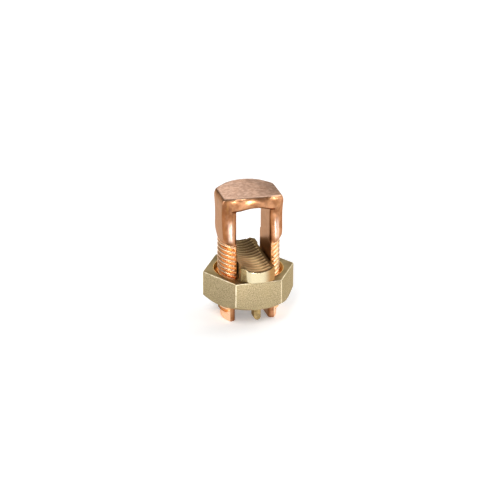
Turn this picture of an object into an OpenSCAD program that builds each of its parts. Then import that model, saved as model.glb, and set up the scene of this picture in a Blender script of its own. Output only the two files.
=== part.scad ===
// Split bolt connector for copper cable: a forged copper split bolt, a hexagon nut that runs
// on the two threaded legs, and a ridged pressure bar that the nut pushes up the slot.
// Millimetres. +Z runs up the bolt axis from the leg tips to the head. The cable lies along Y.

/* [Bolt] */
// Major diameter of the thread on the legs
thread_d = 20.64; // [18:0.01:24]
// Height at which the thread starts, above its lower chamfer
thread_start = 3.6; // [2.5:0.1:6]
// Height at which the thread ends and the neck begins
thread_end = 27.8; // [22:0.1:32]
// Width of the slot between the legs, which takes the cable
slot_w = 11.2; // [9:0.1:13]
// Overall height of the bolt at the middle of its crown
bolt_h = 44.9; // [40:0.1:60]
// Thickness of the bridge over the slot, at its middle
bridge_t = 3.9; // [3:0.1:7]
// How far the slot's ceiling rises between the legs
arch_rise = 1.7; // [0.5:0.1:3]
// How far the top of the head rises between its side flats
crown_rise = 1.3; // [0.5:0.1:3]
// Width of the head across its side flats, at their widest
head_w = 20.9; // [19.5:0.1:25]
// Draft of each side flat from its widest line down to the neck
side_draft = 0.4; // [0.1:0.1:1]
// Break along each side of the crown
crown_break = 0.6; // [0.2:0.1:1]
// Depth of the head along the cable, at its middle
head_d = 19.2; // [16:0.1:24]
// Depth of each side flat along the cable
side_flat_d = 11.0; // [8:0.1:13]
// Radius along the lower front and back edges of the bridge
bridge_r = 4.0; // [1:0.1:4.5]
// Radius along the edges of the slot above the thread
slot_edge_r = 2.2; // [0.8:0.1:2.4]
// Radius along the edges of the slot beside the thread
thread_edge_r = 1.0; // [0.4:0.1:1.5]
// Height of the neck where the flats run out into the thread
neck_l = 2.6; // [1.5:0.1:4]

/* [Leg tips] */
// How far the unthreaded tips lie below the thread's crests
tip_step = 1.07; // [0.6:0.01:1.4]
// Depth along the cable of the lower end of each leg
tip_depth = 10.4; // [8:0.1:13]
// Height up to which each leg keeps that depth
tip_top = 8.0; // [5:0.1:12]
// Break on the lower rim of each tip
tip_break = 0.5; // [0.2:0.1:0.8]

/* [Nut] */
// Width across the nut's flats
nut_af = 27.0; // [26.5:0.1:36]
// Height of the nut
nut_h = 10.0; // [7:0.1:14]
// How much smaller the round face under the nut is than its width across flats
face_step = 1.0; // [0.4:0.1:2]
// Angle of the chamfer under the nut's corners
nut_chamfer = 35; // [20:1:45]
// Depth of each 45 degree countersink
sink = 1.15; // [0.6:0.05:1.4]
// Radial clearance of the nut on the thread's major diameter
thread_gap = 0.06; // [0.03:0.01:0.1]

/* [Pressure bar] */
// Length of the bar along the cable
bar_l = 29.4; // [26:0.1:34]
// Distance of the bar's middle behind the bolt's axis
bar_shift = 0.4; // [0:0.1:1]
// Clearance between the bar and each leg
bar_gap = 0.3; // [0.2:0.05:0.8]
// How far each end of the bar stands out sideways past the part between the legs
flare = 0.3; // [0.2:0.05:1.5]
// Height of the bar at its edges
bar_h = 4.8; // [3.5:0.1:7]
// How far each bowed end stands out past its corners
nose = 1.2; // [0.8:0.1:3]
// Bevel on the four upright corners of the bar
corner_bevel = 0.7; // [0.5:0.1:1.6]
// Depth of the cable trough
trough_depth = 1.4; // [0.8:0.1:2.4]
// Flat land left along each edge of the trough
land = 0.7; // [0.3:0.1:1.5]
// Spacing of the gripping ridges
ridge_pitch = 2.15; // [1.5:0.05:3]
// Height of the gripping ridges
ridge_h = 0.45; // [0.2:0.05:0.8]
// Thickness of each prong across the slot
prong_t = 2.4; // [1.5:0.1:4]
// Depth of each prong along the cable
prong_d = 3.6; // [2.5:0.1:5]
// Distance of each prong to one side of the bar's middle
prong_side = 0.8; // [0:0.1:1]
// Clearance between the prongs and the crests of the nut's thread
prong_gap = 0.3; // [0.2:0.05:0.6]
// Length of the prongs below the bar
prong_l = 15.4; // [10:0.1:18]

/* [Rest position] */
// Height of the nut's top face, which carries the bar, above the leg tips
seat_z = 16.8; // [14:0.1:22]

/* [Hidden] */
$fn = 96;

copper = [0.80, 0.47, 0.30];
brass = [0.66, 0.60, 0.44];
bronze = [0.62, 0.54, 0.34];

margin = 1;                     // how far each cutter runs past what it cuts
thread_pitch = 1.5875;          // 16 turns to the inch
thread_r = thread_d / 2;
tip_r = thread_r - tip_step;
inner_x = slot_w / 2;           // inner face of each leg
outer_x = head_w / 2;           // widest line of each side flat
crown_z = bolt_h - crown_rise;  // where the crown meets the side flats
neck_top = thread_end + neck_l;

// Radius of the arc that rises by rise over a chord of the given width
function arc_radius(chord, rise) = (chord * chord / 4 + rise * rise) / (2 * rise);

// ---- Split bolt ---------------------------------------------------------------

bulge = (head_d - side_flat_d) / 2;     // how far the head's faces stand out in the middle
bow_r = arc_radius(head_w, bulge);      // radius of the head's front and back faces
leg_reach = head_d / 2 - bow_r + sqrt(pow(bow_r, 2) - pow(inner_x + slot_edge_r, 2));
thread_reach = sqrt(pow(thread_r, 2) - pow(inner_x + thread_edge_r, 2));
flat_corner_r = norm([outer_x, side_flat_d / 2]);

// Outline of the head seen from above: two flats and two bowed faces
module head_outline() {
    intersection() {
        square([head_w, head_d], center = true);
        translate([0, bow_r - head_d / 2]) circle(r = bow_r);
        translate([0, head_d / 2 - bow_r]) circle(r = bow_r);
    }
}

// Outline of the head seen along the cable: crowned, with drafted sides
module head_profile() {
    crown_r = arc_radius(head_w, crown_rise);
    widest_z = crown_z - 2 * crown_break;
    intersection() {
        translate([0, bolt_h - crown_r]) circle(r = crown_r);
        polygon([
            [-outer_x + side_draft, thread_end], [-outer_x, widest_z],
            [-outer_x + crown_break, crown_z], [-outer_x + crown_break, bolt_h],
            [outer_x - crown_break, bolt_h], [outer_x - crown_break, crown_z],
            [outer_x, widest_z], [outer_x - side_draft, thread_end]
        ]);
    }
}

// Everything on the outer side of one slot face, with both slot edges rounded
module beside_slot(edge_r, reach) {
    translate([inner_x + edge_r, -reach]) square([head_w, 2 * reach]);
    translate([inner_x, edge_r - reach]) square([head_w, 2 * (reach - edge_r)]);
    for (side = [-1, 1])
        translate([inner_x + edge_r, side * (reach - edge_r)]) circle(r = edge_r);
}

// A bar along X with its two lower edges rounded, as deep as the head
module rounded_below(lower_z) {
    length = 2 * head_w;
    rotate([90, 0, 90])
        translate([0, 0, -length / 2])
            linear_extrude(length) {
                translate([-head_d / 2, lower_z + bridge_r]) square([head_d, bolt_h]);
                translate([bridge_r - head_d / 2, lower_z])
                    square([head_d - 2 * bridge_r, bolt_h]);
                for (side = [-1, 1])
                    translate([side * (head_d / 2 - bridge_r), lower_z + bridge_r])
                        circle(r = bridge_r);
            }
}

// The bridge: crowned on top, arched below and rounded along its lower edges
module bridge() {
    ceiling_z = bolt_h - bridge_t;
    arch_r = arc_radius(slot_w, arch_rise);
    lower_z = ceiling_z - arch_rise;
    difference() {
        intersection() {
            translate([0, 0, lower_z]) linear_extrude(bolt_h - lower_z) head_outline();
            translate([0, head_d, 0]) rotate([90, 0, 0])
                linear_extrude(2 * head_d) head_profile();
            rounded_below(lower_z);
        }
        translate([0, head_d, ceiling_z - arch_r])
            rotate([90, 0, 0]) cylinder(r = arch_r, h = 2 * head_d);
    }
}

// One leg above the thread, tapered into the thread over the neck
module upper_leg() {
    intersection() {
        translate([0, 0, thread_end]) linear_extrude(crown_z - thread_end)
            intersection() {
                head_outline();
                beside_slot(slot_edge_r, leg_reach);
            }
        translate([0, head_d, 0]) rotate([90, 0, 0]) linear_extrude(2 * head_d) head_profile();
        union() {
            translate([0, 0, thread_end])
                cylinder(r1 = thread_r, r2 = flat_corner_r, h = neck_l);
            translate([0, 0, neck_top]) cylinder(r = flat_corner_r + margin, h = bolt_h);
        }
    }
}

// One threaded leg at the thread's major diameter, with its narrow, unthreaded tip
module lower_leg() {
    intersection() {
        union() {
            linear_extrude(thread_end) beside_slot(thread_edge_r, tip_depth / 2);
            translate([0, 0, tip_top]) linear_extrude(thread_end - tip_top)
                beside_slot(thread_edge_r, thread_reach);
        }
        rotate_extrude() polygon([
            [0, 0], [tip_r - tip_break, 0], [tip_r, tip_break],
            [tip_r, thread_start - tip_step], [thread_r, thread_start],
            [thread_r, thread_end], [0, thread_end]
        ]);
    }
}

module split_bolt() {
    color(copper) {
        bridge();
        for (turn = [0, 180])
            rotate([0, 0, turn]) {
                upper_leg();
                lower_leg();
            }
    }
}

// ---- Nut ----------------------------------------------------------------------

bore_r = thread_r + thread_gap;

module hex_nut() {
    corner_r = nut_af / 2 / cos(30);
    face_r = (nut_af - face_step) / 2;
    chamfer_h = (corner_r - face_r) * tan(nut_chamfer);
    color(brass)
        translate([0, 0, seat_z - nut_h])
            difference() {
                intersection() {
                    cylinder(r = corner_r, h = nut_h, $fn = 6);
                    union() {
                        cylinder(r1 = face_r, r2 = corner_r, h = chamfer_h);
                        translate([0, 0, chamfer_h]) cylinder(r = corner_r + margin, h = nut_h);
                    }
                }
                translate([0, 0, -margin]) cylinder(r = bore_r, h = nut_h + 2 * margin);
                translate([0, 0, -margin])
                    cylinder(r1 = bore_r + sink + margin, r2 = bore_r, h = sink + margin);
                translate([0, 0, nut_h - sink])
                    cylinder(r1 = bore_r, r2 = bore_r + sink + margin, h = sink + margin);
            }
}

// ---- Pressure bar -------------------------------------------------------------

bar_w = slot_w - 2 * bar_gap;
end_w = bar_w + 2 * flare;
waist_l = 2 * (thread_reach + bar_shift) + 4 * bar_gap;     // length that runs between the legs
nut_thread_depth = 0.55 * thread_pitch;
prong_reach = sqrt(pow(bore_r - nut_thread_depth - prong_gap, 2)
    - pow(prong_side + prong_t / 2, 2));

// Outline of one end of the bar seen from above: bowed, with bevelled corners
module bar_end() {
    nose_r = arc_radius(end_w, nose);
    shoulder_y = bar_l / 2 - nose;
    intersection() {
        polygon([
            [-end_w / 2, 0], [end_w / 2, 0],
            [end_w / 2, shoulder_y - corner_bevel], [end_w / 2 - corner_bevel, shoulder_y],
            [end_w / 2 - corner_bevel, bar_l / 2], [corner_bevel - end_w / 2, bar_l / 2],
            [corner_bevel - end_w / 2, shoulder_y], [-end_w / 2, shoulder_y - corner_bevel]
        ]);
        translate([0, bar_l / 2 - nose_r]) circle(r = nose_r);
    }
}

// Outline of the whole bar, with the narrower waist that runs between the legs
module bar_outline() {
    difference() {
        for (turn = [0, 180]) rotate([0, 0, turn]) bar_end();
        for (side = [-1, 1])
            translate([side * (bar_w / 2 + flare), 0]) square([2 * flare, waist_l], center = true);
    }
}

// The round cutter that leaves the trough, grooved so that it leaves ridges across it
module trough_cutter() {
    trough_r = arc_radius(bar_w - 2 * land, trough_depth);
    ridges = ceil(bar_l / ridge_pitch) + 1;
    reach = ridges * ridge_pitch / 2;
    teeth = [for (i = [0 : ridges - 1], half = [0, 1])
        [trough_r - half * ridge_h, (i + half / 2) * ridge_pitch - reach]];
    translate([0, 0, bar_h - trough_depth + trough_r])
        rotate([90, 0, 0])
            rotate_extrude()
                polygon(concat([[0, -reach]], teeth, [[trough_r, reach], [0, reach]]));
}

// One prong, which hangs in the nut's bore and keeps the bar square to the slot
module prong() {
    r = prong_t / 2;
    translate([prong_side - r, -prong_reach, r - prong_l]) {
        cube([prong_t, prong_d, prong_l]);
        translate([r, 0, 0]) rotate([-90, 0, 0]) cylinder(r = r, h = prong_d);
    }
}

module pressure_bar() {
    color(bronze)
        translate([0, 0, seat_z]) {
            translate([0, bar_shift, 0]) difference() {
                linear_extrude(bar_h) bar_outline();
                trough_cutter();
            }
            for (turn = [0, 180])
                rotate([0, 0, turn]) prong();
        }
}

split_bolt();
hex_nut();
pressure_bar();
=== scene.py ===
# %% [markdown]
# # Split bolt connector
#
# A split bolt joins two heavy copper cables. A forged copper bolt has a slot down its middle, the
# cables lie side by side in the slot, and a brass nut on the two threaded legs pushes a ridged bar
# up against them. This lesson models the three pieces at their real size and finishes them.
#
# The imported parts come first. They fix where everything is, so every place below is taken from
# them or from a named size in millimetres.

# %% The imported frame
import math

import bpy
from mathutils import Matrix, Vector


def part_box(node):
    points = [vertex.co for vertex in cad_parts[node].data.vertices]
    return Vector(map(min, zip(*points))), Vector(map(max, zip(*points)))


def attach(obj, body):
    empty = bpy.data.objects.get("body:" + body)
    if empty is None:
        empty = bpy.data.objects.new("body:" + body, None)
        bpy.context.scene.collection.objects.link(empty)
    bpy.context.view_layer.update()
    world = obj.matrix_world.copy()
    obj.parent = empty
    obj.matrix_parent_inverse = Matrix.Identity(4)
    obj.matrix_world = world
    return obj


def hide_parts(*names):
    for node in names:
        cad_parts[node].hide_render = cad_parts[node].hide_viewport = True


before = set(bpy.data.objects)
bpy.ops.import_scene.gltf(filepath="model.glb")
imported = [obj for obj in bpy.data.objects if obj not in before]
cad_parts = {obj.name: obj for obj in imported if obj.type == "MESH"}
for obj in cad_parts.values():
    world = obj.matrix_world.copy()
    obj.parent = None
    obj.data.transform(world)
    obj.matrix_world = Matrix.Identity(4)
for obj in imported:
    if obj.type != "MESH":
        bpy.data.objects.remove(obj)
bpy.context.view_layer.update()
MM = 0.001

bolt_low, bolt_high = [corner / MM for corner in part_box("split_bolt")]
nut_low, nut_high = [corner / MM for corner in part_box("hex_nut")]
bar_low, bar_high = [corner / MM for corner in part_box("pressure_bar")]
print("bolt", bolt_low[:], bolt_high[:])
print("nut", nut_low[:], nut_high[:])
print("bar", bar_low[:], bar_high[:])

# %% [markdown]
# ## Tools for the bench
#
# Most solids here start as a cube or a cylinder, and edges are then found by where they lie. A
# round solid is drawn as half its outline, one point after another, and spun about the bolt's
# axis. The helpers below do those steps and nothing else. Sizes go in as millimetres.

# %% Selecting and applying


def only(thing):
    """Leave one object selected and active."""
    if bpy.context.object and bpy.context.object.mode != "OBJECT":
        bpy.ops.object.mode_set(mode="OBJECT")
    bpy.ops.object.select_all(action="DESELECT")
    thing.select_set(True)
    bpy.context.view_layer.objects.active = thing


def settle(thing):
    """Put an object's place, turn and scale into its mesh."""
    only(thing)
    bpy.ops.object.transform_apply(location=True, rotation=True, scale=True)


def fresh(name):
    """Name the primitive that was just added, and settle it."""
    thing = bpy.context.object
    thing.name = name
    settle(thing)
    return thing


def block(name, low, high):
    """A box between two corners."""
    bpy.ops.object.select_all(action="DESELECT")
    low, high = Vector(low) * MM, Vector(high) * MM
    bpy.ops.mesh.primitive_cube_add(size=1, location=(low + high) / 2, scale=high - low)
    return fresh(name)


def rod(name, radius, length, painted_leg_highlight, turn=(0, 0, 0), sides=256):
    """A round or many-sided bar, upright unless it is turned."""
    bpy.ops.object.select_all(action="DESELECT")
    bpy.ops.mesh.primitive_cylinder_add(
        vertices=sides, radius=radius * MM, depth=length * MM,
        location=Vector(painted_leg_highlight) * MM, rotation=turn)
    return fresh(name)


def modify(thing, kind, **settings):
    """Add one modifier, set it up and apply it."""
    only(thing)
    modifier = thing.modifiers.new(kind.title(), kind)
    for key, value in settings.items():
        setattr(modifier, key, value)
    bpy.ops.object.modifier_apply(modifier=modifier.name)
    return thing


def combine(thing, other, how):
    """Join, cut or keep what two closed solids share. The second one is used up."""
    modify(thing, "BOOLEAN", object=other, operation=how, solver="MANIFOLD")
    bpy.data.objects.remove(other)
    return thing


def bevel_edges(thing, wanted, width, segments):
    """Round the edges for which wanted(start, end) holds, both in millimetres."""
    only(thing)
    bpy.ops.object.mode_set(mode="EDIT")
    bpy.ops.mesh.select_mode(type="EDGE")
    bpy.ops.mesh.select_all(action="DESELECT")
    bpy.ops.object.mode_set(mode="OBJECT")
    points = [vertex.co / MM for vertex in thing.data.vertices]
    for edge in thing.data.edges:
        start, end = (points[i] for i in edge.vertices)
        edge.select = wanted(start, end)
    bpy.ops.object.mode_set(mode="EDIT")
    bpy.ops.mesh.bevel(offset=width * MM, segments=segments, profile=0.5, affect="EDGES")
    bpy.ops.object.mode_set(mode="OBJECT")
    return thing


def outline(name, points):
    """A chain of edges through (radius, height) points, drawn by extruding one point."""
    bpy.ops.object.select_all(action="DESELECT")
    bpy.ops.mesh.primitive_plane_add(size=MM)
    chain = fresh(name)
    bpy.ops.object.mode_set(mode="EDIT")
    bpy.ops.mesh.select_mode(type="VERT")
    bpy.ops.mesh.select_all(action="SELECT")
    bpy.ops.mesh.merge(type="CENTER")
    places = [Vector((radius, 0, height)) * MM for radius, height in points]
    bpy.ops.transform.translate(value=places[0])
    for here, there in zip(places, places[1:]):
        bpy.ops.mesh.extrude_region_move(TRANSFORM_OT_translate={"value": there - here})
    bpy.ops.object.mode_set(mode="OBJECT")
    return chain


def lathe(name, points, steps=256):
    """Spin an outline that starts and ends on the axis into a closed round solid."""
    turned = outline(name, points)
    only(turned)
    bpy.ops.object.mode_set(mode="EDIT")
    bpy.ops.mesh.select_all(action="SELECT")
    bpy.ops.mesh.spin(steps=steps, angle=math.tau, center=(0, 0, 0), axis=(0, 0, 1))
    bpy.ops.mesh.select_all(action="SELECT")
    bpy.ops.mesh.remove_doubles(threshold=0.0005 * MM)
    bpy.ops.mesh.normals_make_consistent(inside=False)
    bpy.ops.object.mode_set(mode="OBJECT")
    return turned


def prism(name, points, near, far):
    """A closed (x, height) outline, filled and drawn out along the cable."""
    solid = outline(name, points)
    only(solid)
    bpy.ops.object.mode_set(mode="EDIT")
    bpy.ops.mesh.select_all(action="SELECT")
    bpy.ops.mesh.edge_face_add()
    bpy.ops.transform.translate(value=(0, near * MM, 0))
    bpy.ops.mesh.extrude_region_move(TRANSFORM_OT_translate={"value": (0, (far - near) * MM, 0)})
    bpy.ops.mesh.select_all(action="SELECT")
    bpy.ops.mesh.normals_make_consistent(inside=False)
    bpy.ops.object.mode_set(mode="OBJECT")
    return solid


def relax(thing, rounds, weight=None):
    """Soften a dense mesh. weight(point) says how much each point in millimetres gives way."""
    if weight is None:
        return modify(thing, "SMOOTH", factor=0.5, iterations=rounds)
    group = thing.vertex_groups.new(name="give")
    for vertex in thing.data.vertices:
        share = weight(vertex.co / MM)
        if share > 0:
            group.add([vertex.index], min(share, 1), "REPLACE")
    modify(thing, "SMOOTH", factor=0.5, iterations=rounds, vertex_group="give")
    thing.vertex_groups.clear()
    return thing


def ramp(value, start, end):
    """0 before start, 1 after end and a soft step between them."""
    share = min(max((value - start) / (end - start), 0), 1)
    return share * share * (3 - 2 * share)


def count(thing):
    """Say how big a finished piece is."""
    faces = sum(len(face.vertices) - 2 for face in thing.data.polygons)
    size = [round(side / MM, 2) for side in thing.dimensions]
    print(f"{thing.name}: {faces} triangles, {size} mm")


# %% [markdown]
# ## The thread
#
# The bolt and the nut share one right-hand thread: 16 turns to the inch on a 20.64 mm bolt. A
# thread is a helix of one tooth, so one tooth is drawn and the Screw modifier winds it round the
# axis. That leaves a tube with ragged ends, which two bisect cuts trim and close. The nut's
# tooth is the same one, a little larger all round, so that the two turn without touching.

# %% Winding one tooth into a thread
THREAD_R = 10.32
PITCH = 1.5875
TOOTH = 0.92
CREST = 0.20        # share of the pitch that is flat crest
ROOT = 0.12         # share of the pitch that is root
TOOTH_POINTS = 12   # steps in the outline of one tooth


def tooth_outline(crest_r, crest):
    """One tooth, from root to root, with its corners eased as a worn thread's are."""
    flank = (1 - crest - ROOT) / 2
    points = []
    for i in range(TOOTH_POINTS + 1):
        share = i / TOOTH_POINTS
        up = min(share, 1 - share) - ROOT / 2
        lift = min(max(up / flank, 0), 1)
        eased = 0.7 * lift + 0.3 * lift * lift * (3 - 2 * lift)
        points.append((crest_r - TOOTH * (1 - eased), share * PITCH))
    return points


def wind(name, crest_r, low, high, crest=CREST, turn=0.0, steps=144):
    """A threaded rod between two heights."""
    turns = math.ceil((high - low) / PITCH) + 3
    start = (math.floor(low / PITCH) - 1 + turn) * PITCH
    tooth = [(r, z + start) for r, z in tooth_outline(crest_r, crest)]
    rod_mesh = outline(name, tooth)
    modify(rod_mesh, "SCREW", axis="Z", angle=math.tau, iterations=turns,
           screw_offset=PITCH * MM, steps=steps, render_steps=steps,
           use_merge_vertices=False)
    only(rod_mesh)
    bpy.ops.object.mode_set(mode="EDIT")
    bpy.ops.mesh.select_all(action="SELECT")
    bpy.ops.mesh.remove_doubles(threshold=0.002 * MM)
    for height, up in ((low, -1), (high, 1)):
        bpy.ops.mesh.select_all(action="SELECT")
        bpy.ops.mesh.bisect(plane_co=(0, 0, height * MM), plane_no=(0, 0, up),
                            use_fill=True, clear_outer=True, threshold=1e-8)
    bpy.ops.mesh.select_all(action="SELECT")
    bpy.ops.mesh.normals_make_consistent(inside=False)
    bpy.ops.object.mode_set(mode="OBJECT")
    return rod_mesh


# %% [markdown]
# ## The split bolt
#
# The real bolt is one forging. Its head is a thick bridge with flat sides and bowed faces, and
# both legs run down from it. A bevel on a machined block gives edges that are too even for that,
# so the blank is put together from blocks, remeshed into one even skin and then relaxed, which
# rounds each edge a little and lets the bridge flow into the legs.

# %% Sizes of the forging
SLOT = 11.2
BOW_R = 15.36           # radius of the head's front and back faces
CROWN_RISE = 1.3
CROWN_BREAK = 0.6       # break along each side of the crown
THREAD_START = 3.6
THREAD_END = 27.8
NECK = 2.6
ROOT_R = THREAD_R - TOOTH
TIP_R = 9.25
BRIDGE_LOW = 39.3       # height of the slot's ceiling beside the legs
ARCH_RISE = 1.7
BRIDGE_ROUND = 4.0
BROW_Z = 42.5           # height at which the bridge stands furthest forward
BROW_ROUND = 4.6        # how tightly it rolls back above that
WAIST_Z = 36.8          # where the fronts of the legs are pinched in, and by how much
WAIST = 0.8
WAIST_FROM, WAIST_TO = 28.5, 41.5
SLOT_ROUND = 2.2
THREAD_REACH = 7.62     # how far the threaded part reaches along the cable
THREAD_ROUND = 1.3
DRAFT = 0.4

width, depth, height = (bolt_high - bolt_low)[:]
half_w, half_d = width / 2, depth / 2
inner = SLOT / 2


def leg_block(name, side, reach, rounding, low, high):
    """One leg as a block with its two slot edges rounded, on side -1 or 1."""
    x_low, x_high = sorted((side * inner, side * (half_w + 1)))
    leg = block(name, (x_low, -reach, low), (x_high, reach, high))

    def on_slot(start, end):
        upright = abs(start.z - end.z) > 0.1
        return upright and abs(abs(start.x) - inner) < 0.01

    return bevel_edges(leg, on_slot, rounding, 10)


# %% The blank of the head
def head_envelope():
    """The head's outer faces: drafted sides, bowed front and back, and the crown."""
    crown_z = height - CROWN_RISE
    edge_x = half_w - CROWN_BREAK
    crown_r = (half_w ** 2 + CROWN_RISE ** 2) / (2 * CROWN_RISE)
    right_side = [(half_w - DRAFT, 0), (half_w - DRAFT, THREAD_END),
                  (half_w, crown_z - 2 * CROWN_BREAK), (edge_x, crown_z)]
    crown = []
    for i in range(41):
        x = edge_x * (1 - i / 20)
        crown.append((x, height - crown_r + math.sqrt(crown_r ** 2 - x ** 2)))
    left_side = [(-x, z) for x, z in reversed(right_side)]
    shape = prism("envelope", right_side[:3] + crown + left_side[1:], -20, 20)
    barrel = [(0, -1), (BOW_R, -1)]
    for i in range(13):
        rise = 3 * i / 12
        back = BROW_ROUND - math.sqrt(BROW_ROUND ** 2 - rise ** 2)
        barrel.append((BOW_R - back, BROW_Z + rise))
    for side in (-1, 1):
        bow = lathe("bow", barrel + [(0, BROW_Z + 3)], 512)
        bow.data.transform(Matrix.Translation((0, side * (BOW_R - half_d) * MM, 0)))
        combine(shape, bow, "INTERSECT")
    return shape


def bridge_block():
    """The bar over the slot, rolled under at front and back and arched below."""
    bridge = block("bridge", (-half_w, -half_d, BRIDGE_LOW), (half_w, half_d, height))

    def lower_long(start, end):
        low = abs(start.z - BRIDGE_LOW) < 0.01 and abs(end.z - BRIDGE_LOW) < 0.01
        return low and abs(start.x - end.x) > 1

    bevel_edges(bridge, lower_long, BRIDGE_ROUND, 16)
    arch_r = (inner ** 2 + ARCH_RISE ** 2) / (2 * ARCH_RISE)
    centre = BRIDGE_LOW + ARCH_RISE - arch_r
    arch = rod("arch", arch_r, 60, (0, 0, centre), (math.pi / 2, 0, 0))
    return combine(bridge, arch, "DIFFERENCE")


# %% Joining the blank
leg_reach = half_d - BOW_R + math.sqrt(BOW_R ** 2 - (inner + SLOT_ROUND) ** 2)
TIP_REACH = 5.2
TIP_TOP = 8.0
RUN_OUT = 2.0           # height over which the thread's grooves fade away

blank = bridge_block()
for side in (-1, 1):
    upper = leg_block("upper", side, leg_reach, SLOT_ROUND, THREAD_END - RUN_OUT, height - 3)
    combine(blank, upper, "UNION")
combine(blank, head_envelope(), "INTERSECT")
neck = lathe("neck", [
    (0, 0), (ROOT_R, 0), (ROOT_R, THREAD_END - RUN_OUT), (THREAD_R, THREAD_END),
    (THREAD_R + 1.5, THREAD_END + NECK), (half_w + 3, THREAD_END + NECK + 0.5),
    (half_w + 3, height + 2), (0, height + 2)])
combine(blank, neck, "INTERSECT")
for side in (-1, 1):
    stem = leg_block("stem", side, THREAD_REACH, THREAD_ROUND, TIP_TOP, THREAD_END)
    foot = leg_block("foot", side, TIP_REACH, THREAD_ROUND, 0, TIP_TOP + 1)
    combine(stem, foot, "UNION")
    core = lathe("core", [
        (0, 0), (TIP_R - 0.2, 0), (TIP_R + 0.1, 0.3), (ROOT_R, 2), (ROOT_R, THREAD_END),
        (0, THREAD_END)])
    combine(stem, core, "INTERSECT")
    combine(blank, stem, "UNION")
count(blank)

# %% [markdown]
# A voxel remesh turns the joined blocks into one even skin. The hammered waist of the legs is
# then pinched in by moving points, because no operator gives that shape, and the Smooth modifier
# relaxes the rest: a little everywhere, and most on the outer corners.

# %% Relaxing the blank into a forging
SKIN = 0.26
modify(blank, "REMESH", mode="VOXEL", voxel_size=SKIN * MM)


def outer_corners(point):
    """The hammered outside of the head, away from the slot and the crown's front line."""
    outside = ramp(abs(point.x), inner + 0.6, inner + 1.8)
    above = ramp(point.z, THREAD_END - 0.3, THREAD_END + 2)
    return outside * above


for vertex in blank.data.vertices:
    point = vertex.co / MM
    pinch = ramp(point.z, WAIST_FROM, WAIST_Z) * ramp(point.z, WAIST_TO, WAIST_Z + 0.6)
    ahead = ramp(abs(point.y), 1.5, 6.5) * ramp(abs(point.x), inner - 0.2, inner + 1.2)
    vertex.co.y -= math.copysign(WAIST * pinch * ahead, point.y) * MM
relax(blank, 2)
relax(blank, 5, lambda point: ramp(point.z, THREAD_END - 4, THREAD_END - 1))
relax(blank, 22, outer_corners)
count(blank)

# %% [markdown]
# The thread goes on after the skin is relaxed, so its crests stay crisp. It is trimmed to the two
# legs, a little inside their slot faces, and joined to them.

# %% Cutting the thread on the legs
threads = wind("threads", THREAD_R, THREAD_START - 1.1, THREAD_END)
limits = lathe("limits", [
    (0, THREAD_START - 1.2), (TIP_R - 0.1, THREAD_START - 1.2), (THREAD_R, THREAD_START),
    (THREAD_R + 0.2, THREAD_START + 0.3), (THREAD_R + 0.2, THREAD_END + 1), (0, THREAD_END + 1)])
combine(threads, limits, "INTERSECT")
TUCK = 0.04             # how far the thread's own sides lie inside the slot faces
legs = None
for side in (-1, 1):
    stem = leg_block("stem", side, THREAD_REACH - TUCK, THREAD_ROUND, TIP_TOP, THREAD_END + 1)
    foot = leg_block("foot", side, TIP_REACH - TUCK, THREAD_ROUND, 0, TIP_TOP + 1)
    combine(stem, foot, "UNION")
    stem.data.transform(Matrix.Translation((side * TUCK * MM, 0, 0)))
    legs = stem if legs is None else combine(legs, stem, "UNION")
combine(threads, legs, "INTERSECT")
count(threads)
bolt = combine(blank, threads, "UNION")
bolt.name = "bolt_forging"
only(bolt)
bpy.ops.object.shade_smooth_by_angle(angle=math.radians(50))
count(bolt)
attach(bolt, "bolt")
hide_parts("split_bolt")

# %% [markdown]
# ## The nut
#
# The nut is cast brass: a hexagon with a chamfer under its corners, a wide shallow countersink on
# both faces and the thread through the middle. Its edges are only lightly broken, so a narrow
# bevel is enough, and the skin stays flat.

# %% Sizes of the nut
NUT_GAP = 0.07          # how much larger the nut's thread is all round
FACE_STEP = 0.5         # how far the round face stops short of the flats
NUT_CHAMFER = math.radians(35)
SINK = 1.15             # how far the countersink opens past the thread
EDGE = 0.22

nut_h = nut_high.z - nut_low.z
corner_r = nut_high.x
flat_r = nut_high.y
print("nut", round(2 * flat_r, 2), "mm across flats,", round(nut_h, 2), "mm high")

# %% The hexagon and the chamfer under its corners
nut = rod("nut", corner_r, nut_h, (0, 0, (nut_high.z + nut_low.z) / 2),
          (0, 0, math.pi / 6), sides=6)
for look in ("cast", "rubbed"):
    nut.data.materials.append(bpy.data.materials.new(look))
modify(nut, "BEVEL", width=EDGE * MM, segments=4, limit_method="ANGLE",
       angle_limit=math.radians(25), material=1)
face_r = flat_r - FACE_STEP
chamfer_top = nut_low.z + (corner_r + 1 - face_r) * math.tan(NUT_CHAMFER)
under = lathe("under", [
    (0, nut_low.z), (face_r, nut_low.z), (corner_r + 1, chamfer_top),
    (corner_r + 1, nut_high.z + 1), (0, nut_high.z + 1)])
combine(nut, under, "INTERSECT")
count(nut)

# %% Countersinks and thread
mouth_r = THREAD_R + NUT_GAP + SINK
for face_z, into in ((nut_low.z, 1), (nut_high.z, -1)):
    bottom = face_z + into * (SINK + 1.5)
    sink = lathe("sink", [
        (0, face_z - into), (mouth_r + 1, face_z - into), (mouth_r - SINK - 1.5, bottom),
        (0, bottom)])
    combine(nut, sink, "DIFFERENCE")
tap = wind("tap", THREAD_R + NUT_GAP, nut_low.z - 1, nut_high.z + 1,
           crest=CREST + 2 * NUT_GAP / PITCH, turn=-NUT_GAP / PITCH / 2)
combine(nut, tap, "DIFFERENCE")
nut.name = "nut_casting"
only(nut)
bpy.ops.object.shade_smooth_by_angle(angle=math.radians(30))
count(nut)
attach(nut, "nut")
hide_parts("hex_nut")

# %% [markdown]
# ## The pressure bar
#
# The bar is a rough casting: a block with bowed ends, a ridged trough along its top and a prong
# under each end that hangs in the nut's bore. The trough is one long cutter, an outline of teeth
# spun into a rod and laid along the bar. The whole is then remeshed and relaxed, which softens
# every edge as sand casting does, and relaxed far more where cables have worn the ridges away.

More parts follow.
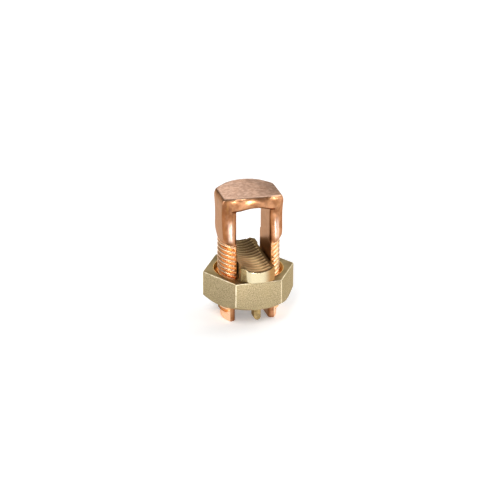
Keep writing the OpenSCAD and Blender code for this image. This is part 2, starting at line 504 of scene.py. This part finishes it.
# %% Sizes of the bar
BAR_GAP = 0.3           # play between the bar and each leg
FLARE = 0.3             # how much wider the ends are on each side
FLARE_Y = 9.0           # where the ends begin
NOSE = 1.2              # how far the ends are bowed
CORNER = 0.7
TROUGH = 1.4
LAND = 0.7              # flat strip on each side of the trough
RIDGE = 2.15
RIDGE_H = 0.55
PRONG_W = 2.4
PRONG_D = 3.6
PRONG_SIDE = 0.8
PRONG_L = 15.4
BAR_H = 4.8

bar_mid = (bar_low.y + bar_high.y) / 2
bar_half = (bar_high.y - bar_low.y) / 2
waist = inner - BAR_GAP
end_w = waist + FLARE
seat = nut_high.z
print("bar", round(2 * bar_half, 2), "mm long,", round(2 * waist, 2), "mm wide between the legs")

# %% The block and its bowed ends
bar = block("bar", (-end_w, bar_low.y, seat), (end_w, bar_high.y, seat + BAR_H))
nose_r = (end_w ** 2 + NOSE ** 2) / (2 * NOSE)
for side in (-1, 1):
    bow = rod("bow", nose_r, 40, (0, bar_mid + side * (bar_half - nose_r), seat))
    keep = block("keep", (-20, min(bar_mid, bar_mid - side * 40), seat - 20),
                 (20, max(bar_mid, bar_mid - side * 40), seat + 20))
    combine(bow, keep, "UNION")
    combine(bar, bow, "INTERSECT")


def bar_corner(start, end):
    upright = abs(start.z - end.z) > 1
    return upright and abs(abs(start.x) - end_w) < 0.01


bevel_edges(bar, bar_corner, CORNER, 1)
count(bar)

# %% The large facet on one corner of each end
FACET_NORMAL = Vector((0.65, 0.76, -0.06)).normalized()
FACET_BACK = 2.5        # how far behind the nose the facet meets the bar's side
only(bar)
bpy.ops.object.mode_set(mode="EDIT")
for side in (-1, 1):
    end_y = bar_mid + side * (bar_half - FACET_BACK)
    normal = Vector((side * FACET_NORMAL.x, side * FACET_NORMAL.y, FACET_NORMAL.z))
    bpy.ops.mesh.select_all(action="SELECT")
    bpy.ops.mesh.bisect(plane_co=Vector((side * end_w, end_y, seat + BAR_H)) * MM, plane_no=normal,
                        use_fill=True, clear_outer=True)
bpy.ops.object.mode_set(mode="OBJECT")
for side in (-1, 1):
    x_low, x_high = sorted((side * waist, side * (end_w + 1)))
    cut = block("waist", (x_low, -FLARE_Y, seat - 1), (x_high, FLARE_Y, seat + BAR_H + 1))
    combine(bar, cut, "DIFFERENCE")
count(bar)

# %% The ridged trough
trough_w = 2 * (waist - LAND)
trough_r = (trough_w ** 2 / 4 + TROUGH ** 2) / (2 * TROUGH)
ridges = math.ceil(2 * bar_half / RIDGE) + 1
reach = ridges * RIDGE / 2
teeth = []
for i in range(ridges):
    teeth.append((trough_r, i * RIDGE - reach))
    teeth.append((trough_r - RIDGE_H, (i + 0.5) * RIDGE - reach))
cutter = lathe("cutter", [(0, -reach)] + teeth + [(trough_r, reach), (0, reach)], 360)
cutter.data.transform(
    Matrix.Translation((0, bar_mid * MM, (seat + BAR_H - TROUGH + trough_r) * MM))
    @ Matrix.Rotation(math.pi / 2, 4, "X"))
combine(bar, cutter, "DIFFERENCE")
count(bar)

# %% The prongs
PRONG_R = THREAD_R + 0.06 - 0.55 * PITCH - 0.3      # clear of the nut's thread
prong_front = math.sqrt(PRONG_R ** 2 - (PRONG_SIDE + PRONG_W / 2) ** 2)
for side in (-1, 1):
    middle_x = -side * PRONG_SIDE
    y_low, y_high = sorted((side * prong_front, side * (prong_front - PRONG_D)))
    prong = block("prong", (middle_x - PRONG_W / 2, y_low, seat - PRONG_L),
                  (middle_x + PRONG_W / 2, y_high, seat + 1))

    def prong_tip(start, end):
        low = max(start.z, end.z) < seat - PRONG_L + 0.01
        return low and abs(start.y - end.y) > 1

    bevel_edges(prong, prong_tip, PRONG_W / 2 - 0.02, 8)
    combine(bar, prong, "UNION")
count(bar)

# %% One skin for the bar, relaxed and worn
BAR_SKIN = 0.13
modify(bar, "REMESH", mode="VOXEL", voxel_size=BAR_SKIN * MM)


def rubbed(point):
    """Where cables have rubbed the ridges away: the front of the trough, mostly on its left."""
    along = ramp(point.y, 1.5, -3.5)
    across = ramp(point.x, 3.6, 1.4)
    nose_end = ramp(point.y, bar_low.y + 0.6, bar_low.y + 1.6)
    tip = ramp(point.y, bar_low.y + 3.4, bar_low.y + 2.2)
    inside = ramp(abs(point.x), trough_w / 2 - 0.1, trough_w / 2 - 0.7)
    return max(along * across, tip) * nose_end * inside * ramp(point.z, seat + 2.0, seat + 2.6)


relax(bar, 5)
relax(bar, 240, rubbed)
bar.name = "bar_casting"
only(bar)
bpy.ops.object.shade_smooth()
count(bar)
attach(bar, "bar")
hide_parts("pressure_bar")

# %% [markdown]
# ## Finishes
#
# All three metals are old stock: nothing is polished all over. Each finish starts from the
# Principled shader as a metal, and noise at two or three sizes changes its colour, roughness and
# surface. What the tools have touched is brighter: the cut thread, the nut's edges, the bar's
# nose, and on the nut's edges and the bar's nose part of that brightness is a painted highlight.
# Patterns follow Object coordinates, so their sizes are real sizes.

# %% Short calls that add nodes
ASIDE, UP = 0, 2        # the x and z parts of a direction


def new_finish(name, tint):
    """A metal, with its tree and shader. The tint keeps its colour at glancing angles."""
    made = bpy.data.materials.new(name)
    made.use_nodes = True
    shader = made.node_tree.nodes["Principled BSDF"]
    shader.inputs["Metallic"].default_value = 1
    shader.inputs["Specular Tint"].default_value = (*tint, 1)
    return made, made.node_tree, shader


def node(tree, kind, inputs=None, **settings):
    """Add a node. An input is given a plain value or another node's socket."""
    made = tree.nodes.new(kind)
    for key, value in settings.items():
        setattr(made, key, value)
    for key, value in (inputs or {}).items():
        if isinstance(value, bpy.types.NodeSocket):
            tree.links.new(value, made.inputs[key])
        else:
            made.inputs[key].default_value = value
    return made


def figure(tree, operation, first, second=0.0):
    """One sum."""
    return node(tree, "ShaderNodeMath", {0: first, 1: second}, operation=operation).outputs[0]


def between(tree, value, start, end):
    """0 at start, 1 at end, and a soft step between them."""
    made = node(tree, "ShaderNodeMapRange",
                {"Value": value, "From Min": start, "From Max": end}, interpolation_type="SMOOTHSTEP")
    return made.outputs["Result"]


def span(tree, value, low, high):
    """A 0 to 1 value spread over low to high."""
    made = node(tree, "ShaderNodeMapRange", {"Value": value, "To Min": low, "To Max": high})
    return made.outputs["Result"]


def blend(tree, share, first, second):
    """Mix two colours."""
    made = node(tree, "ShaderNodeMix", data_type="RGBA")
    for index, value in ((0, share), (6, first), (7, second)):
        if isinstance(value, bpy.types.NodeSocket):
            tree.links.new(value, made.inputs[index])
        else:
            made.inputs[index].default_value = (*value, 1) if index else value
    return made.outputs[2]


def grain(tree, place, size, detail=2.0, rough=0.5, stretch=(1, 1, 1)):
    """Noise whose lumps are about size millimetres across."""
    if stretch != (1, 1, 1):
        place = node(tree, "ShaderNodeMapping", {"Vector": place, "Scale": stretch}).outputs[0]
    made = node(tree, "ShaderNodeTexNoise", {
        "Vector": place, "Scale": 1 / (size * MM), "Detail": detail, "Roughness": rough})
    return made.outputs["Fac"]


def relief(tree, height, depth, under=None):
    """A bump of so many millimetres, on top of another if there is one."""
    inputs = {"Height": height, "Distance": depth * MM, "Strength": 1.0}
    if under is not None:
        inputs["Normal"] = under
    return node(tree, "ShaderNodeBump", inputs).outputs["Normal"]


def where(tree):
    """Object coordinates, in millimetres as x, y, z and distance from the bolt's axis."""
    place = node(tree, "ShaderNodeTexCoord").outputs["Object"]
    parts = node(tree, "ShaderNodeSeparateXYZ", {0: place})
    x, y, z = (figure(tree, "MULTIPLY", parts.outputs[i], 1 / MM) for i in range(3))
    out = figure(tree, "SQRT", figure(tree, "ADD", figure(tree, "MULTIPLY", x, x),
                                      figure(tree, "MULTIPLY", y, y)))
    return place, x, y, z, out


def facing(tree, way):
    """How far the surface faces ASIDE or UP, from -1 to 1."""
    turned = node(tree, "ShaderNodeNewGeometry").outputs["Normal"]
    return node(tree, "ShaderNodeSeparateXYZ", {0: turned}).outputs[way]


def plug(tree, shader, **sockets):
    """Wire sockets of the shader by name."""
    for name, value in sockets.items():
        tree.links.new(value, shader.inputs[name.replace("_", " ").title()])


# %% [markdown]
# Forged copper goes brown and mauve where nothing rubs it: darkest on the flat sides and greyer on
# the crown. A dark reflection is painted along the legs' edges, and the crown's rim, which
# Pointiness finds, is pale: partly wear, partly a painted highlight. The thread was cut through
# that skin, so it is bright orange, and its crests are paler still.
#
# The pale streak down the middle of each leg isn't skin. It adds to the shine that the lamps
# give there, and it is fixed in the colour, so it stays under any light and shows from behind
# as a soft grey patch. Lamps set for the legs would be the better way.

# %% Forged copper
copper, tree, shader = new_finish("forged_copper", (1.0, 0.78, 0.60))
shader.inputs["Coat Weight"].default_value = 0.12
shader.inputs["Coat Roughness"].default_value = 0.2
place, x, y, z, out = where(tree)
cloud = grain(tree, place, 3.6, 3, 0.55)
patch = grain(tree, place, 1.1, 3, 0.6)
fine = grain(tree, place, 0.22, 2, 0.6)
streak = grain(tree, place, 0.9, 3, 0.6, (1, 1, 0.12))
skin = blend(tree, between(tree, cloud, 0.31, 0.69), (0.27, 0.10, 0.035), (0.62, 0.30, 0.15))
skin = blend(tree, figure(tree, "MULTIPLY", between(tree, patch, 0.42, 0.80), 0.5), skin,
             (0.25, 0.125, 0.075))
skin = blend(tree, figure(tree, "MULTIPLY", between(tree, streak, 0.5, 0.7), 0.35), skin,
             (0.52, 0.25, 0.07))
LEG_IN, LEG_OUT = 6.55, 9.25   # where the fronts of the legs darken towards their edges
wide = figure(tree, "ABSOLUTE", x)
# Painted shade: a dark reflection painted along the inner and outer edges of the legs.
painted_edge_shade = figure(tree, "MAXIMUM", between(tree, wide, LEG_IN + 0.35, LEG_IN - 0.35),
               between(tree, wide, LEG_OUT - 0.45, LEG_OUT + 0.45))
painted_edge_shade = figure(tree, "MULTIPLY", painted_edge_shade, between(tree, z, 41.0, 37.5))
skin = blend(tree, figure(tree, "MULTIPLY", painted_edge_shade, 0.6), skin, (0.33, 0.115, 0.035))
# Painted highlight: a pale streak down the middle of each leg, front and back.
painted_leg_highlight = figure(tree, "MULTIPLY", between(tree, wide, 6.8, 7.4), between(tree, wide, 8.9, 8.2))
painted_leg_highlight = figure(tree, "MULTIPLY", painted_leg_highlight, figure(
    tree, "MULTIPLY", between(tree, z, 28.5, 30.0), between(tree, z, 37.0, 34.0)))
skin = blend(tree, figure(tree, "MULTIPLY", painted_leg_highlight, 0.6), skin, (0.82, 0.62, 0.52))
aside = between(tree, figure(tree, "ABSOLUTE", facing(tree, ASIDE)), 0.86, 0.98)
skin = blend(tree, figure(tree, "MULTIPLY", aside, 0.6), skin, (0.30, 0.14, 0.065))
top = between(tree, facing(tree, UP), 0.75, 0.95)
crown = blend(tree, between(tree, patch, 0.38, 0.66), (0.31, 0.215, 0.18), (0.56, 0.41, 0.335))
skin = blend(tree, figure(tree, "MULTIPLY", top, 0.75), skin, crown)
# The crown's pale rim: partly wear, partly a painted highlight.
wear_and_sheen = between(tree, node(tree, "ShaderNodeNewGeometry").outputs["Pointiness"], 0.510, 0.545)
wear_and_sheen = figure(tree, "MULTIPLY", wear_and_sheen, between(tree, z, 40.0, 41.5))
skin = blend(tree, figure(tree, "MULTIPLY", wear_and_sheen, 0.7), skin, (0.95, 0.66, 0.46))
crest = between(tree, out, THREAD_R - 0.5, THREAD_R - 0.05)
bright = blend(tree, crest, (0.93, 0.52, 0.25), (0.98, 0.68, 0.44))
bright = blend(tree, figure(tree, "MULTIPLY", between(tree, patch, 0.5, 0.7), 0.3), bright,
               (0.70, 0.34, 0.18))
bright = blend(tree, between(tree, z, THREAD_START + 0.4, THREAD_START - 0.6), bright,
               (1.0, 0.64, 0.42))
cut = figure(tree, "MULTIPLY", between(tree, z, THREAD_END + 0.25, THREAD_END - 0.25),
             between(tree, out, TIP_R - 0.25, TIP_R - 0.05))
roughness = figure(tree, "ADD", span(tree, cut, 0.30, 0.26), span(tree, patch, -0.07, 0.09))
plug(tree, shader, base_color=blend(tree, cut, skin, bright), roughness=roughness,
     normal=relief(tree, fine, 0.006, relief(tree, patch, 0.025, relief(tree, cloud, 0.10))))

# %% [markdown]
# The nut was cast in sand and left as it came: its sides are an even, sparkling grain. The faces
# were skimmed flat, the countersinks were cut, and every edge is pale: partly rubbed, partly a
# painted highlight.

# %% Nut brass, and its rubbed edges
brass, tree, shader = new_finish("nut_brass", (1.0, 0.88, 0.66))
place, x, y, z, out = where(tree)
sand = grain(tree, place, 0.33, 5, 0.75)
lump = grain(tree, place, 0.75, 2, 0.6)
cloud = grain(tree, place, 4.5, 3, 0.5)
flank = blend(tree, between(tree, sand, 0.33, 0.67), (0.165, 0.127, 0.063), (0.50, 0.40, 0.24))
flank = blend(tree, figure(tree, "MULTIPLY", between(tree, cloud, 0.4, 0.7), 0.35), flank,
              (0.37, 0.29, 0.155))
up = figure(tree, "ABSOLUTE", facing(tree, UP))
flat = between(tree, up, 0.93, 0.98)
face = blend(tree, between(tree, cloud, 0.35, 0.65), (0.18, 0.13, 0.06), (0.26, 0.20, 0.11))
INSIDE_R = 11.65        # the cut surfaces lie inside this radius
inside = between(tree, out, INSIDE_R + 0.1, INSIDE_R - 0.1)
colour = blend(tree, flat, flank, face)
colour = blend(tree, inside, colour, (0.85, 0.50, 0.16))
rough = span(tree, sand, 0.34, 0.52)
rough = figure(tree, "SUBTRACT", rough, figure(tree, "MULTIPLY", inside, 0.14))
tooled = figure(tree, "MAXIMUM", flat, inside)
grit = figure(tree, "MULTIPLY", figure(tree, "ADD", sand, lump), span(tree, tooled, 1.0, 0.2))
plug(tree, shader, base_color=colour, roughness=rough, normal=relief(tree, grit, 0.08))

# The nut's pale edges: partly rubbed brass, partly a painted highlight.
edges, tree, shader = new_finish("rubbed_brass_and_sheen", (1.0, 0.92, 0.75))
place, x, y, z, out = where(tree)
nick = grain(tree, place, 0.8, 3, 0.7)
plug(tree, shader,
     base_color=blend(tree, between(tree, nick, 0.3, 0.6), (0.52, 0.42, 0.24), (0.86, 0.75, 0.54)),
     roughness=span(tree, nick, 0.22, 0.42), normal=relief(tree, nick, 0.03))

# %% [markdown]
# The bar is a darker bronze. Painted shade darkens the grooves between its ridges, cables have
# rubbed a reddish patch on the front of the trough, and its nose is nearly polished, with a
# painted highlight that turns to painted shade on its right.

# %% Bar bronze
bronze, tree, shader = new_finish("bar_bronze", (1.0, 0.82, 0.58))
place, x, y, z, out = where(tree)
speck = grain(tree, place, 0.30, 2, 0.7)
patch = grain(tree, place, 1.4, 3, 0.6)
axis_z = seat + BAR_H - TROUGH + trough_r
drop = figure(tree, "SUBTRACT", z, axis_z)
deep = figure(tree, "SQRT", figure(
    tree, "ADD", figure(tree, "MULTIPLY", x, x), figure(tree, "MULTIPLY", drop, drop)))
# Painted shade: the grooves between the ridges are darkened.
groove_shade = between(tree, deep, trough_r - RIDGE_H * 0.75, trough_r - RIDGE_H * 0.1)
in_trough = figure(tree, "MULTIPLY", between(tree, facing(tree, UP), 0.3, 0.6),
                   between(tree, z, seat + 2, seat + 2.4))
body = blend(tree, between(tree, patch, 0.35, 0.65), (0.20, 0.13, 0.045), (0.36, 0.25, 0.10))
speckle = between(tree, speck, 0.45, 0.7)
body = blend(tree, figure(tree, "MULTIPLY", speckle, 0.5), body, (0.66, 0.56, 0.36))
trough = blend(tree, between(tree, y, 8, -9), (0.27, 0.185, 0.09), (0.90, 0.66, 0.36))
trough = blend(tree, figure(tree, "MULTIPLY", speckle, 0.45), trough, (0.70, 0.52, 0.28))
trough = blend(tree, figure(tree, "MULTIPLY", groove_shade, 0.9), trough, (0.08, 0.045, 0.02))
rub = figure(tree, "MULTIPLY", between(tree, y, 3, -3), between(tree, y, -11.5, -8))
rub = figure(tree, "MULTIPLY", rub, between(tree, x, 1.6, -1.6))
trough = blend(tree, figure(tree, "MULTIPLY", rub, 0.75), trough, (0.40, 0.23, 0.12))
colour = blend(tree, in_trough, body, trough)
# The nose: polished, smoother and less gritty, with a painted highlight on its middle that turns to
# painted brown shade on its right.
nose_polish_and_highlight = figure(tree, "MULTIPLY", between(tree, y, bar_low.y + 1.5, bar_low.y + 1.0),
              between(tree, facing(tree, UP), 0.6, 0.35))
nose_highlight_and_shade = blend(tree, between(tree, x, 1.0, 4.2), (0.80, 0.70, 0.46), (0.42, 0.22, 0.08))
colour = blend(tree, figure(tree, "MULTIPLY", nose_polish_and_highlight, 0.9), colour, nose_highlight_and_shade)
rough = figure(tree, "SUBTRACT", span(tree, speck, 0.38, 0.56), figure(tree, "MULTIPLY", nose_polish_and_highlight, 0.22))
grit = figure(tree, "MULTIPLY", speck, span(tree, nose_polish_and_highlight, 1.0, 0.25))
plug(tree, shader, base_color=colour, roughness=rough, normal=relief(tree, grit, 0.04))

# %% [markdown]
# The nut keeps the face marks that its bevel made, so its flats take the sand-cast finish and its
# edges the rubbed one, whose pale colour is partly a painted highlight. Clearing the slots would
# lose the marks, so they are put back afterwards.

# %% Putting the finishes on
for thing, looks in ((bolt, [copper]), (nut, [brass, edges]), (bar, [bronze])):
    wear_and_sheen = [face.material_index for face in thing.data.polygons]
    thing.data.materials.clear()
    for look in looks:
        thing.data.materials.append(look)
    thing.data.polygons.foreach_set("material_index", wear_and_sheen)
    print(thing.name, [look.name for look in looks], sum(1 for i in wear_and_sheen if i), "worn faces")

# %% [markdown]
# ## The table, the lights and the camera
#
# Bare metal shows what stands around it more than its own colour, so the lamps matter as much as
# the finishes. A large lamp behind lights the crown, the trough and the nut's upper face at a
# glance, and three narrow ones in front draw the bright upright lines on the legs and the nose.
# The paper glows a little where the camera or the metal sees it, so that it reads as white
# without more light on the connector, and it still takes the shadow.

# %% The floor
bpy.ops.mesh.primitive_plane_add(size=6)
floor = fresh("floor")
paper = bpy.data.materials.new("paper")
paper.use_nodes = True
tree = paper.node_tree
sheet = tree.nodes["Principled BSDF"]
sheet.inputs["Base Color"].default_value = (0.98, 0.98, 0.98, 1)
sheet.inputs["Roughness"].default_value = 0.9
ray = node(tree, "ShaderNodeLightPath")
seen = figure(tree, "MAXIMUM", ray.outputs["Is Camera Ray"], figure(
    tree, "MAXIMUM", ray.outputs["Is Glossy Ray"], ray.outputs["Is Transmission Ray"]))
sheet.inputs["Emission Color"].default_value = (1, 1, 1, 1)
plug(tree, sheet, emission_strength=figure(tree, "MULTIPLY", seen, 0.24))
floor.data.materials.append(paper)
print("floor", floor.dimensions[:], "m")

# %% The lamps and the world

def softbox(name, place, size, power, aim=(0, 0, 0.02)):
    """A square lamp that faces the connector."""
    lamp = bpy.data.lights.new(name, "AREA")
    lamp.shape = "RECTANGLE"
    lamp.size, lamp.size_y = size
    lamp.energy = power
    holder = bpy.data.objects.new(name, lamp)
    bpy.context.scene.collection.objects.link(holder)
    holder.location = place
    holder.rotation_euler = (Vector(aim) - Vector(place)).to_track_quat("-Z", "Y").to_euler()


softbox("key", (-0.42, -0.70, 0.85), (0.4, 0.4), 5.0)
softbox("front", (0.00, -0.90, 0.11), (0.08, 0.22), 3.6)
softbox("left_strip", (-0.57, -0.70, 0.11), (0.06, 0.22), 1.5)
softbox("right_strip", (0.82, -0.38, 0.11), (0.06, 0.22), 1.8)
softbox("left", (-0.90, 0.05, 0.16), (0.25, 0.3), 1.7)
softbox("side", (0.85, 0.05, 0.55), (0.3, 0.5), 2.0)
softbox("back", (0.51, 0.77, 0.71), (1.7, 0.5), 5.4)

world = bpy.data.worlds.new("studio")
bpy.context.scene.world = world
world.use_nodes = True
world.node_tree.nodes["Background"].inputs["Color"].default_value = (0.8, 0.8, 0.8, 1)
world.node_tree.nodes["Background"].inputs["Strength"].default_value = 0.38
bpy.context.scene.view_settings.view_transform = "Standard"

# %% [markdown]
# The camera stands well back with a long lens, as for a catalogue, a little to the left of the
# slot and looking down by some 22 degrees. It aims near the middle of the nut's upper face.

# %% The camera
AZIMUTH = math.radians(-15)
ELEVATION = math.radians(22.4)
ROLL = math.radians(0.3)
DISTANCE = 0.8955
LENS = 194.4
RIGHT_BY, UP_BY = 0.53, 5.64    # the aim point's distance from there, in millimetres

away = Vector((math.sin(AZIMUTH) * math.cos(ELEVATION),
               -math.cos(AZIMUTH) * math.cos(ELEVATION), math.sin(ELEVATION)))
turn = away.to_track_quat("Z", "Y")
across, upward = turn @ Vector((1, 0, 0)), turn @ Vector((0, 1, 0))
target = (Vector((0, 0, nut_high.z)) + RIGHT_BY * across + UP_BY * upward) * MM
lens = bpy.data.cameras.new("camera")
lens.lens = LENS
lens.clip_start, lens.clip_end = 0.01, 20
camera = bpy.data.objects.new("camera", lens)
bpy.context.scene.collection.objects.link(camera)
camera.rotation_mode = "QUATERNION"
camera.location = target + away * DISTANCE
camera.rotation_quaternion = (turn.to_matrix() @ Matrix.Rotation(ROLL, 3, "Z")).to_quaternion()
bpy.context.scene.camera = camera
print("camera", camera.location[:])
